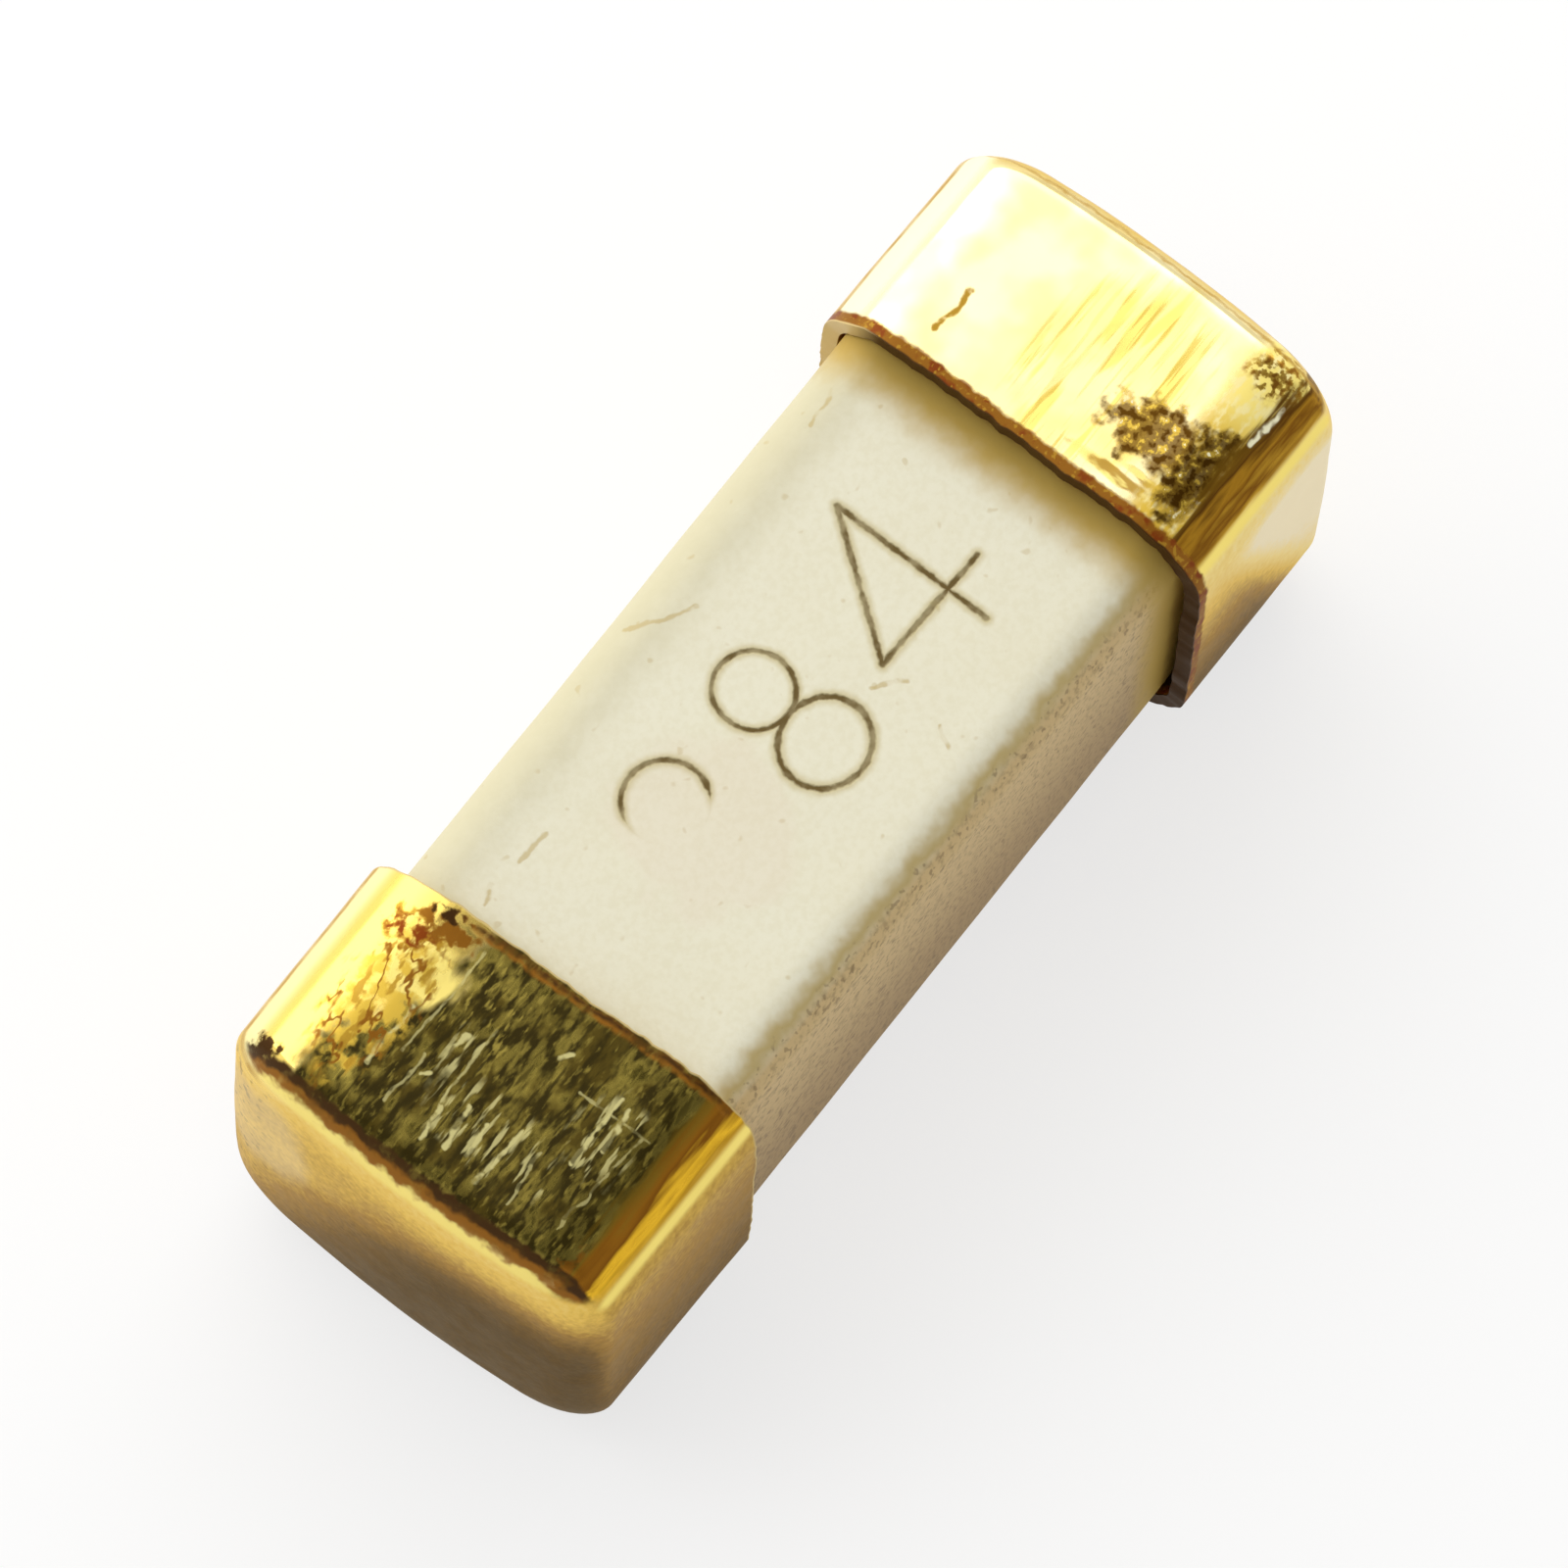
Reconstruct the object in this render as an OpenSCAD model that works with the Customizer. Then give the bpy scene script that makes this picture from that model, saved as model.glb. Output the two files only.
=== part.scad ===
// Square ceramic surface-mount fuse: a ceramic tube with a metal cap on each end.
// Units are millimetres. The fuse lies along X, its printed face looks up along +Z,
// and the origin is on the seating plane below the middle of the fuse.

/* [Fuse] */
// Length over both caps
fuse_l = 12.2; // [9:0.1:16]
// Width and height over a cap
cap_w = 4.6; // [4.2:0.1:5.4]

/* [Caps] */
// Length of a cap along the fuse
cap_l = 2.6; // [1.6:0.1:3.6]
// Thickness of the drawn sheet
cap_t = 0.2; // [0.16:0.01:0.26]
// Outer radius of the long edges
cap_edge_r = 0.9; // [0.64:0.01:0.95]
// Outer radius around the closed end
cap_end_r = 0.45; // [0.4:0.01:0.64]

/* [Ceramic tube] */
// Gap between the flat sides of the tube and the walls of a cap
tube_fit = 0.08; // [0.05:0.01:0.12]
// Gap between the round edges of the tube and those inside a cap
corner_fit = 0.03; // [0.02:0.01:0.05]
// Diameter of the bore
bore_d = 2.6; // [1.6:0.1:2.7]

/* [Wire and solder] */
// Diameter of the melting wire
wire_d = 0.3; // [0.24:0.02:0.4]
// Inner radius of the bend where the wire hooks over the tube
bend_r = 0.15; // [0.1:0.01:0.2]
// Distance from the end of a hook to the side of the tube
hook_inset = 0.25; // [0.15:0.05:0.3]
// Solder before and behind the hooked wire
solder_skin = 0.06; // [0.05:0.01:0.09]
// Gap between the solder and the side wall of a cap
solder_fit = 0.03; // [0.02:0.01:0.06]

/* [Hidden] */
$fn = 64;

// Room inside a cap, and the tube that slides into it. The edges of the tube are as sharp
// as the gap at the corners lets them be, to a hundredth of a millimetre.
room_w = cap_w - 2 * cap_t;
room_edge_r = cap_edge_r - cap_t;
tube_w = room_w - 2 * tube_fit;
corner_ease = (sqrt(2) * tube_fit - corner_fit) / (sqrt(2) - 1);
tube_edge_r = ceil(100 * (room_edge_r - corner_ease)) / 100;

// The solder is as thick as the wire and its two skins, and the tube ends where it begins.
solder_t = wire_d + 2 * solder_skin;
solder_w = room_w - 2 * solder_fit;
room_end_x = fuse_l / 2 - cap_t;
tube_end_x = room_end_x - solder_t;
solder_edge_r = room_edge_r - solder_fit;
solder_end_r = cap_end_r - cap_t - solder_fit;

// The wire bends round a centre level with the top of the bore, then runs up in the solder.
bore_r = bore_d / 2;
wire_bend_r = bend_r + wire_d / 2;
hook_x = tube_end_x + solder_skin + wire_d / 2;
bend_x = hook_x - wire_bend_r;
bend_reach = norm([bend_x, bore_r]);
wire_tilt = atan2(bore_r, bend_x) - asin(wire_bend_r / bend_reach);
hook_l = tube_w / 2 - hook_inset - bore_r;
bend_steps = 6;
wire_sides = 16;

ceramic_colour = "#EAE2C9";
gold_colour = "#D8B25A";
wire_colour = "#B5764A";
solder_colour = "#B7BABD";

// Flat outline of a square with round corners.
module round_square(w, r) {
    square([w, w - 2 * r], center = true);
    square([w - 2 * r, w], center = true);
    for (sy = [-1, 1], sz = [-1, 1])
        translate([sy, sz] * (w / 2 - r)) circle(r);
}

// Half outline of a bar whose far end is rounded: x from 0 to reach, y from 0 to half.
module round_end_half(reach, half, r) {
    square([reach - r, half]);
    square([reach, half - r]);
    translate([reach - r, half - r]) circle(r);
}

// Square block along +X with round long edges and a round edge at its far end.
module drawn_block(reach, w, edge_r, end_r) {
    core = w / 2 - edge_r;
    for (turn = [0, 90, 180, 270])
        rotate([turn, 0, 0]) {
            // The flat side, from the middle of the block to its face.
            translate([0, 0, -core])
                linear_extrude(2 * core) intersection() {
                    round_end_half(reach, w / 2, end_r);
                    translate([0, core]) square([reach, edge_r]);
                }
            // The round long edge beside it.
            translate([0, core, core])
                rotate([90, 0, 90])
                rotate_extrude(angle = 90) intersection() {
                    rotate(90) mirror([0, 1]) round_end_half(reach, edge_r, end_r);
                    square([edge_r, reach]);
                }
        }
    translate([0, -core, -core]) cube([reach, 2 * core, 2 * core]);
}

// Drawn cup with its closed end towards +X.
module cap() {
    difference() {
        translate([fuse_l / 2 - cap_l, 0, cap_w / 2])
            drawn_block(cap_l, cap_w, cap_edge_r, cap_end_r);
        translate([fuse_l / 2 - cap_l - cap_t, 0, cap_w / 2])
            drawn_block(cap_l, room_w, room_edge_r, cap_end_r - cap_t);
    }
}

// Stations along the wire as [x, z, direction of travel], from its top end back to the middle.
hook_stations = concat(
    [for (i = [0:bend_steps])
        let (a = wire_tilt + (90 - wire_tilt) * i / bend_steps)
        [bend_x + wire_bend_r * sin(a), bore_r - wire_bend_r * cos(a), a]],
    [[hook_x, bore_r + hook_l, 90]]
);
last = len(hook_stations) - 1;
wire_stations = concat(
    [for (i = [last:-1:0]) [-hook_stations[i][0], -hook_stations[i][1], hook_stations[i][2]]],
    hook_stations
);

// Wire through the middle of the bore, rising towards +X, hooked over the tube at both ends.
module wire() {
    rings = len(wire_stations);
    points = [
        for (s = wire_stations, j = [0:wire_sides - 1])
            let (t = 360 * j / wire_sides, r = wire_d / 2)
            [s[0] - r * cos(t) * sin(s[2]), r * sin(t), s[1] + r * cos(t) * cos(s[2])]
    ];
    sides = [
        for (i = [0:rings - 2], j = [0:wire_sides - 1])
            let (k = (j + 1) % wire_sides, a = i * wire_sides, b = a + wire_sides)
            [a + j, a + k, b + k, b + j]
    ];
    first_end = [for (j = [wire_sides - 1:-1:0]) j];
    second_end = [for (j = [0:wire_sides - 1]) (rings - 1) * wire_sides + j];
    polyhedron(points, concat(sides, [first_end, second_end]));
}

// Solder in the floor of the +X cap, wrapped round the hook.
module solder() {
    difference() {
        intersection() {
            translate([tube_end_x - solder_end_r, 0, 0])
                drawn_block(solder_t + solder_end_r, solder_w, solder_edge_r, solder_end_r);
            translate([tube_end_x, -solder_w / 2, -solder_w / 2])
                cube([2 * solder_t, solder_w, solder_w]);
        }
        wire();
    }
}

// Ceramic tube with round long edges and a round bore.
module ceramic_body() {
    color(ceramic_colour)
        translate([0, 0, cap_w / 2])
        rotate([90, 0, 90]) {
            difference() {
                linear_extrude(2 * tube_end_x, center = true) round_square(tube_w, tube_edge_r);
                cylinder(d = bore_d, h = fuse_l, center = true);
            }
        }
}

module left_cap() {
    color(gold_colour) rotate([0, 0, 180]) cap();
}

module right_cap() {
    color(gold_colour) cap();
}

module fuse_wire() {
    color(wire_colour) translate([0, 0, cap_w / 2]) wire();
}

module left_solder() {
    color(solder_colour) translate([0, 0, cap_w / 2]) rotate([0, 180, 0]) solder();
}

module right_solder() {
    color(solder_colour) translate([0, 0, cap_w / 2]) solder();
}

ceramic_body();
left_cap();
right_cap();
fuse_wire();
left_solder();
right_solder();
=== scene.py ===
# %% [markdown]
# # A square ceramic fuse with gold caps
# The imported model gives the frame: where every piece lies and how big it is. The lesson
# starts by loading it and keeping its box, because everything added later has to stay inside.

# %% Load the frame
import math

import bmesh
import bpy
from mathutils import Matrix, Vector, noise


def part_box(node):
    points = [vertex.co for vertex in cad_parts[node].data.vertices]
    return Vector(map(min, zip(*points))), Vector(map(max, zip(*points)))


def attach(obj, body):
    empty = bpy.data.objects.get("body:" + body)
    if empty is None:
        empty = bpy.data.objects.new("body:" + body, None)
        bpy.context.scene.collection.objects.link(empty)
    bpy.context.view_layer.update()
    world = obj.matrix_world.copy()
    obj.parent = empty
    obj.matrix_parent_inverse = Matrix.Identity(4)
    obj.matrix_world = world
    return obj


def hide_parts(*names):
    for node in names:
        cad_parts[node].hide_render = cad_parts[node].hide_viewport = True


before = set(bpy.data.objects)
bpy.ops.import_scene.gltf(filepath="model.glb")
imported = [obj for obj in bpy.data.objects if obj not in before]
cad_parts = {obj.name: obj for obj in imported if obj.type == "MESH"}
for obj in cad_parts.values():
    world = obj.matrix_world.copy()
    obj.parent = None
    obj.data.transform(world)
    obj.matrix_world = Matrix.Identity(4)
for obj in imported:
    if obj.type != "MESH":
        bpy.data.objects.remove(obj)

MM = 0.001
scene = bpy.context.scene
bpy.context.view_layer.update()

# %% [markdown]
# ## Looking at it the way the photograph does
# The fuse was photographed from almost straight above with a long lens, so its long edges stay
# nearly parallel. The camera's place is written as a turn round the fuse, an angle above the
# floor and a distance, which is how one would set up a stand.

# %% Set up the camera
CAMERA_TURN = -56.92
CAMERA_HEIGHT_ANGLE = 70.85
CAMERA_ROLL = 4.78
CAMERA_DISTANCE = 182.24 * MM
CAMERA_LENS = 432.7
CAMERA_SENSOR = 36.0
CAMERA_CLIP = 0.01
CAMERA_TARGET = Vector((0.012, 0.007, 2.3)) * MM

turn, lift = math.radians(CAMERA_TURN), math.radians(CAMERA_HEIGHT_ANGLE)
flat = math.cos(lift)
towards_camera = Vector((math.sin(turn) * flat, -math.cos(turn) * flat, math.sin(lift)))
camera_data = bpy.data.cameras.new("long_lens")
camera_data.lens = CAMERA_LENS
camera_data.sensor_width = CAMERA_SENSOR
camera_data.clip_start = CAMERA_CLIP
camera = bpy.data.objects.new("camera", camera_data)
scene.collection.objects.link(camera)
stand = Matrix.Translation(CAMERA_TARGET + CAMERA_DISTANCE * towards_camera)
aim = towards_camera.to_track_quat("Z", "Y").to_matrix()
roll = Matrix.Rotation(math.radians(CAMERA_ROLL), 3, "Z")
camera.matrix_world = stand @ (aim @ roll).to_4x4()
scene.camera = camera
scene.view_settings.view_transform = "Standard"
print("the camera stands", round(CAMERA_DISTANCE / MM), "mm away, towards", towards_camera)

# %% [markdown]
# ## Node helpers
# Every finish below is a small network of nodes. A few helpers add a node and plug values or
# links into it, blend two colours, and start a node group with named sockets.


# %% Helpers for nodes
def plug(tree, socket, value):
    """Link a socket to another one, or give it a plain value."""
    if isinstance(value, bpy.types.NodeSocket):
        tree.links.new(value, socket)
    else:
        socket.default_value = value


def add_node(tree, kind, inputs=None, **settings):
    """Add a node, set its properties and fill its named or numbered inputs."""
    node = tree.nodes.new("ShaderNode" + kind)
    for name, value in settings.items():
        setattr(node, name, value)
    for key, value in (inputs or {}).items():
        plug(tree, node.inputs[key], value)
    return node


def calculate(tree, operation, *values):
    return add_node(tree, "Math", dict(enumerate(values)), operation=operation).outputs[0]


def vector_step(tree, operation, *values, output=0):
    node = add_node(tree, "VectorMath", dict(enumerate(values)), operation=operation)
    return node.outputs[output]


def ease(tree, value, low, high, out_low=0.0, out_high=1.0):
    """A smooth step of value, from out_low at low to out_high at high."""
    inputs = {0: value, 1: low, 2: high, 3: out_low, 4: out_high}
    return add_node(tree, "MapRange", inputs, interpolation_type="SMOOTHSTEP").outputs[0]


def blend(tree, mask, under, over):
    """A number that is under where the mask is 0 and over where it is 1."""
    mix = add_node(tree, "Mix", {0: mask, 2: under, 3: over}, data_type="FLOAT")
    return mix.outputs[0]


def tint(tree, mask, under, over):
    """A colour that is under where the mask is 0 and over where it is 1."""
    mix = add_node(tree, "Mix", data_type="RGBA")
    for index, value in ((0, mask), (6, under), (7, over)):
        plug(tree, mix.inputs[index], value)
    return mix.outputs[2]


def combine(tree, operation, first, *others):
    """Several masks put together by one Math operation."""
    for other in others:
        first = calculate(tree, operation, first, other)
    return first


def clouds(tree, place, scale, detail=2.0, stretch=None):
    """Soft noise from 0 to 1 with scale bumps to the millimetre, stretched if asked."""
    if stretch:
        place = vector_step(tree, "MULTIPLY", place, stretch)
    inputs = {"Vector": place, "Scale": scale, "Detail": detail}
    return add_node(tree, "TexNoise", inputs).outputs[0]


def start_group(name, vectors, numbers, result):
    """A node group that takes named vectors and numbers and gives one number."""
    tree = bpy.data.node_groups.new(name, "ShaderNodeTree")
    sockets = [(label, "Vector") for label in vectors] + [(label, "Float") for label in numbers]
    for label, kind in sockets:
        tree.interface.new_socket(label, in_out="INPUT", socket_type="NodeSocket" + kind)
    tree.interface.new_socket(result, in_out="OUTPUT", socket_type="NodeSocketFloat")
    print("the group", name, "has", len(sockets), "inputs")
    result_node = tree.nodes.new("NodeGroupOutput")
    return tree, tree.nodes.new("NodeGroupInput").outputs, result_node.inputs[0]


def use_group(tree, group, *values):
    """Place a node group, fill its inputs in order, and return its output."""
    node = tree.nodes.new("ShaderNodeGroup")
    node.node_tree = group
    for socket, value in zip(node.inputs, values):
        plug(tree, socket, value)
    return node.outputs[0]


# %% [markdown]
# ## A finish in layers
# A painter would lay these surfaces on in layers: the clean material first, then stains, then
# scratches. Pictures could be wrapped round the pieces instead, but layers made of nodes stay
# sharp from close by and can be moved by changing a number. A finish keeps the colour so far
# and how dull the surface is, and each new layer covers both where its mask is 1. All its
# lengths are millimetres on the fuse. A blot given only by its place seen from above is centred
# near the tops and made so tall that its height has no say.

# %% Finish
BLOT_Z = 4.5
BLOT_TALL = 9.0


class Finish:
    """A material laid on in layers, with the place on the piece in millimetres."""

    def __init__(self, name, colour, colour_between, patch_scale):
        self.material = bpy.data.materials.new(name)
        self.material.use_nodes = True
        self.tree = self.material.node_tree
        self.shader = self.tree.nodes["Principled BSDF"]
        coordinates = add_node(self.tree, "TexCoord").outputs["Object"]
        scale = (1 / MM, 1 / MM, 1 / MM)
        mapping = add_node(self.tree, "Mapping", {"Vector": coordinates, "Scale": scale})
        self.place = mapping.outputs[0]
        self.x, self.y, self.z = add_node(self.tree, "SeparateXYZ", {0: self.place}).outputs
        self.colour = tint(self.tree, self.noise(patch_scale), colour, colour_between)
        self.dull = 0.0
        self.height = 0.0

    def noise(self, scale, detail=2.0, stretch=None):
        return clouds(self.tree, self.place, scale, detail, stretch)

    def wander(self, scale, width):
        """Noise of about this width to either side of nought, which makes an edge ragged."""
        return self.times(self.minus(self.noise(scale), 0.5), 2 * width)

    def ease(self, value, low, high, out_low=0.0, out_high=1.0):
        return ease(self.tree, value, low, high, out_low, out_high)

    def use(self, group, *values):
        return use_group(self.tree, group, *values)

    def blot(self, middle, size, raggedness, grain):
        """A ragged patch seen from above, unless its height is given too."""
        middle, size = (*middle, BLOT_Z)[:3], (*size, BLOT_TALL)[:3]
        return self.use(ragged_blot, self.place, middle, size, grain, raggedness)

    def mix(self, mask, under, over):
        return tint(self.tree, mask, under, over)

    def ramp(self, value, high, colours):
        """A colour that passes evenly through these colours as value goes from 0 to high."""
        share = calculate(self.tree, "DIVIDE", value, high)
        node = add_node(self.tree, "ValToRGB", {0: share})
        elements, last = node.color_ramp.elements, len(colours) - 1
        for i, colour in enumerate(colours):
            inner = 0 < i < last
            element = elements.new(i / last) if inner else elements[0 if i == 0 else -1]
            element.color = colour
        return node.outputs[0]

    def add(self, *values):
        return combine(self.tree, "ADD", *values)

    def minus(self, value, other):
        return calculate(self.tree, "SUBTRACT", value, other)

    def times(self, *masks):
        """The product, which is where all the masks meet."""
        return combine(self.tree, "MULTIPLY", *masks)

    def strongest(self, *masks):
        """The largest, which is where any of the masks lies."""
        return combine(self.tree, "MAXIMUM", *masks)

    def lay(self, mask, colour, dull=None):
        """Cover the finish where the mask is 1, or where several masks in brackets meet."""
        if isinstance(mask, tuple):
            mask = self.times(*mask)
        self.colour = self.mix(mask, self.colour, colour)
        if dull is not None:
            self.dull = blend(self.tree, mask, self.dull, dull)

    def raise_by(self, mask, millimetres):
        """Add a relief that is this high where the mask is 1."""
        self.height = self.add(self.times(mask, millimetres), self.height)

    def set(self, name, value):
        """Give a socket of the shader a value, or link it."""
        plug(self.tree, self.shader.inputs[name], value)

    def report(self, step):
        """Say how far the material has grown."""
        print(self.material.name, "has", len(self.tree.nodes), "nodes after its", step)

    def done(self):
        """The finished material, with its relief as bumps."""
        relief = add_node(self.tree, "Bump", {"Height": self.height, "Distance": MM})
        plug(self.tree, relief.inputs["Strength"], 1.0)
        self.set("Base Color", self.colour)
        self.set("Normal", relief.outputs[0])
        self.report("relief")
        return self.material


# %% [markdown]
# ## Floor and light
# The fuse lies on white paper under one big soft window. Polished gold shows whatever it
# faces, so the light is part of the finish: the window's edge is placed so that the far cap's
# top mirrors it while the near cap's top mirrors the dim ceiling. The world is the room, with
# pale walls all round, brighter behind the window, and a dim ceiling where the camera hangs.

# %% Make the floor
FLOOR_SIDE = 6.0

floor_mesh = bmesh.new()
bmesh.ops.create_grid(floor_mesh, x_segments=1, y_segments=1, size=FLOOR_SIDE / 2)
floor_data = bpy.data.meshes.new("floor")
floor_mesh.to_mesh(floor_data)
floor_mesh.free()
floor = bpy.data.objects.new("floor", floor_data)
scene.collection.objects.link(floor)
print("the floor is", FLOOR_SIDE, "m wide")

# %% [markdown]
# The photograph's background is pure white with hardly a shadow. Most of what the camera and
# the polished metal see of the paper is therefore plain white, and the rest is paper that
# takes the light and keeps the fuse's shadow. The fuse itself is lit by real paper only.

# %% White paper
PAPER = {"Base Color": (0.96, 0.96, 0.955, 1.0), "Roughness": 0.9, "Specular IOR Level": 0.2}
WHITE_SHARE = 0.70

paper = bpy.data.materials.new("white_paper")
paper.use_nodes = True
sheet = paper.node_tree
paper_shader = sheet.nodes["Principled BSDF"]
for name, value in PAPER.items():
    paper_shader.inputs[name].default_value = value
rays = add_node(sheet, "LightPath").outputs
seen = combine(sheet, "MAXIMUM", rays["Is Camera Ray"], rays["Is Glossy Ray"],
               rays["Is Transmission Ray"])
seen = calculate(sheet, "MULTIPLY", seen, WHITE_SHARE)
white = add_node(sheet, "Emission", {"Strength": 1.0})
mixed = add_node(sheet, "MixShader", {0: seen, 1: paper_shader.outputs[0], 2: white.outputs[0]})
plug(sheet, sheet.nodes["Material Output"].inputs["Surface"], mixed.outputs[0])
floor_data.materials.append(paper)
print("the paper looks", WHITE_SHARE, "white by itself")

# %% Light the room
WALL_LEVEL = 0.85
WINDOW_WALL_EXTRA = 0.40
WINDOW_WALL_FROM = 0.2
WINDOW_WALL_FULL = 0.9
CEILING_LEVEL = 0.14
CEILING_MIDDLE = (-0.12, -0.08, 0.989)
CEILING_INSIDE = 0.90
CEILING_OUTSIDE = 0.50
ROOM_COLOUR = (1.0, 0.995, 0.98, 1.0)

world = bpy.data.worlds.new("pale_room")
world.use_nodes = True
scene.world = world
room = world.node_tree
heading = add_node(room, "TexCoord").outputs["Generated"]
overhead = vector_step(room, "DOT_PRODUCT", heading, CEILING_MIDDLE, output=1)
level = ease(room, overhead, CEILING_OUTSIDE, CEILING_INSIDE, WALL_LEVEL, CEILING_LEVEL)
towards_window = add_node(room, "SeparateXYZ", {0: heading}).outputs[1]
extra = ease(room, towards_window, WINDOW_WALL_FROM, WINDOW_WALL_FULL, 0.0, WINDOW_WALL_EXTRA)
level = calculate(room, "ADD", level, extra)
background = room.nodes["Background"].inputs
plug(room, background["Strength"], level)
plug(room, background["Color"], ROOM_COLOUR)
print("the walls shine at", WALL_LEVEL, "and the ceiling at", CEILING_LEVEL)

# %% Hang the window
WINDOW_HEIGHT = 120 * MM
WINDOW_LENGTH = 420 * MM
WINDOW_DEPTH = 500 * MM
WINDOW_LEVEL = 1.5
EDGE_OVER_NEAR_CAP = Vector((21.7, 23.95)) * MM
EDGE_OVER_FAR_CAP = Vector((46.5, 13.5)) * MM

along_edge = (EDGE_OVER_FAR_CAP - EDGE_OVER_NEAR_CAP).normalized()
across_edge = Vector((-along_edge.y, along_edge.x))
middle = (EDGE_OVER_NEAR_CAP + EDGE_OVER_FAR_CAP) / 2 + across_edge * (WINDOW_DEPTH / 2)
window_data = bpy.data.lights.new("window", "AREA")
window_data.shape = "RECTANGLE"
window_data.size = WINDOW_LENGTH
window_data.size_y = WINDOW_DEPTH
window_data.energy = WINDOW_LEVEL * math.pi * WINDOW_LENGTH * WINDOW_DEPTH
window = bpy.data.objects.new("window", window_data)
window.location = (middle.x, middle.y, WINDOW_HEIGHT)
window.rotation_euler = (0, 0, math.atan2(along_edge.y, along_edge.x))
window.visible_camera = False
scene.collection.objects.link(window)
print("the window gives", round(window_data.energy, 3), "W")

# %% [markdown]
# ## Shaping tools
# A drawn or pressed piece is never a perfect block. These helpers slice a mesh evenly, so that
# it has points to move, and give smooth noise that pushes those points about. Points closer
# than a hundredth of a micrometre are merged, and ten times that counts as lying on a plane.

# %% Helpers for meshes
MERGE = 1e-8
ON_PLANE = 1e-7
STRAIGHT = 0.999


def block(low, high):
    """A bmesh cube from its lowest to its highest corner."""
    mesh = bmesh.new()
    size = Matrix.Diagonal((*(high - low), 1.0))
    bmesh.ops.create_cube(mesh, size=1.0, matrix=Matrix.Translation((low + high) / 2) @ size)
    return mesh


def round_edges(mesh, edges, radius, segments):
    """Give these edges a round of this radius."""
    bmesh.ops.bevel(mesh, geom=edges, offset=radius, segments=segments, profile=0.5,
                    affect="EDGES", material=-1)
    bmesh.ops.remove_doubles(mesh, verts=mesh.verts, dist=MERGE)


def slice_mesh(mesh, axis, low, high, step):
    """Cut straight through the mesh between two places along an axis, about step apart."""
    count = max(1, round((high - low) / step))
    normal = Vector((0, 0, 0))
    normal[axis] = 1
    for i in range(1, count):
        geometry = mesh.verts[:] + mesh.edges[:] + mesh.faces[:]
        cut = normal * (low + (high - low) * i / count)
        bmesh.ops.bisect_plane(mesh, geom=geometry, dist=MERGE, plane_co=cut, plane_no=normal)


def slice_across(mesh, middle_z, half, step):
    """Slice a mesh in Y and in Z, up to half on either side of its axis."""
    slice_mesh(mesh, 1, -half, half, step)
    slice_mesh(mesh, 2, middle_z - half, middle_z + half, step)


def ripple(place, size, seed):
    """Smooth noise from -1 to 1, whose bumps are about size across."""
    return noise.noise(place / size + Vector((seed, 3.7 * seed, -1.9 * seed)))


def waves(place, seed, layers):
    """Ripples laid over one another, each with a height, a size in mm and a step in seed."""
    return sum(height * ripple(place, size * MM, seed + step) for height, size, step in layers)


def smooth_step(value, low, high):
    """A number that passes softly from 0 at low to 1 at high."""
    t = min(max((value - low) / (high - low), 0.0), 1.0)
    return t * t * (3 - 2 * t)


def edges_along_x(mesh):
    """The edges that run along X."""
    runs = [(edge, edge.verts[1].co - edge.verts[0].co) for edge in mesh.edges]
    return [edge for edge, run in runs if abs(run.x) > STRAIGHT * run.length]


def make_piece(mesh, name, node, material, smooth=True):
    """Turn a finished bmesh into an object that stands for one node of the frame."""
    for face in mesh.faces:
        face.smooth = smooth
    data = bpy.data.meshes.new(name)
    mesh.to_mesh(data)
    mesh.free()
    data.materials.append(material)
    piece = bpy.data.objects.new(name, data)
    scene.collection.objects.link(piece)
    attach(piece, "root")
    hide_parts(node)
    print(name, "has", sum(len(p.vertices) - 2 for p in data.polygons), "triangles")


# %% [markdown]
# ## Effects that finishes share
# A soft band picks a strip of the surface by any measure, a blot picks a round patch with a
# ragged outline, specks are the dark grains in a fine surface, and draw lines are the long
# fine streaks that a tool leaves in metal. Gold, ceramic, copper and tin all need some of
# them, so each is a node group with named sockets, built once and placed wherever a finish
# needs it. Specks and lines are the high parts of a noise: the larger their amount, the lower
# the noise is cut.

# %% Soft band
soft_band, band_in, band_out = start_group(
    "soft_band", [], ["Value", "Low", "High", "Softness"], "Mask")
above_low = calculate(soft_band, "SUBTRACT", band_in["Value"], band_in["Low"])
below_high = calculate(soft_band, "SUBTRACT", band_in["High"], band_in["Value"])
inside = calculate(soft_band, "MINIMUM", above_low, below_high)
half_soft = calculate(soft_band, "MULTIPLY", band_in["Softness"], 0.5)
outer = calculate(soft_band, "MULTIPLY", half_soft, -1.0)
plug(soft_band, band_out, ease(soft_band, inside, outer, half_soft))

# %% Ragged blot
BLOT_SOLID = 0.7
BLOT_GONE = 1.15

ragged_blot, blot_in, blot_out = start_group(
    "ragged_blot", ["Place", "Middle", "Size", "Grain"], ["Raggedness"], "Mask")
offset = vector_step(ragged_blot, "SUBTRACT", blot_in["Place"], blot_in["Middle"])
share = vector_step(ragged_blot, "DIVIDE", offset, blot_in["Size"])
reach = vector_step(ragged_blot, "LENGTH", share, output=1)
grained = vector_step(ragged_blot, "MULTIPLY", blot_in["Place"], blot_in["Grain"])
wobble = clouds(ragged_blot, grained, 1.0, 3.0)
wobble = calculate(ragged_blot, "SUBTRACT", wobble, 0.5)
wobble = calculate(ragged_blot, "MULTIPLY", wobble, blot_in["Raggedness"])
edge_at = calculate(ragged_blot, "ADD", reach, wobble)
plug(ragged_blot, blot_out, ease(ragged_blot, edge_at, BLOT_SOLID, BLOT_GONE, 1.0, 0.0))

# %% High parts of a noise
AMOUNT_REACH = 0.35


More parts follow.
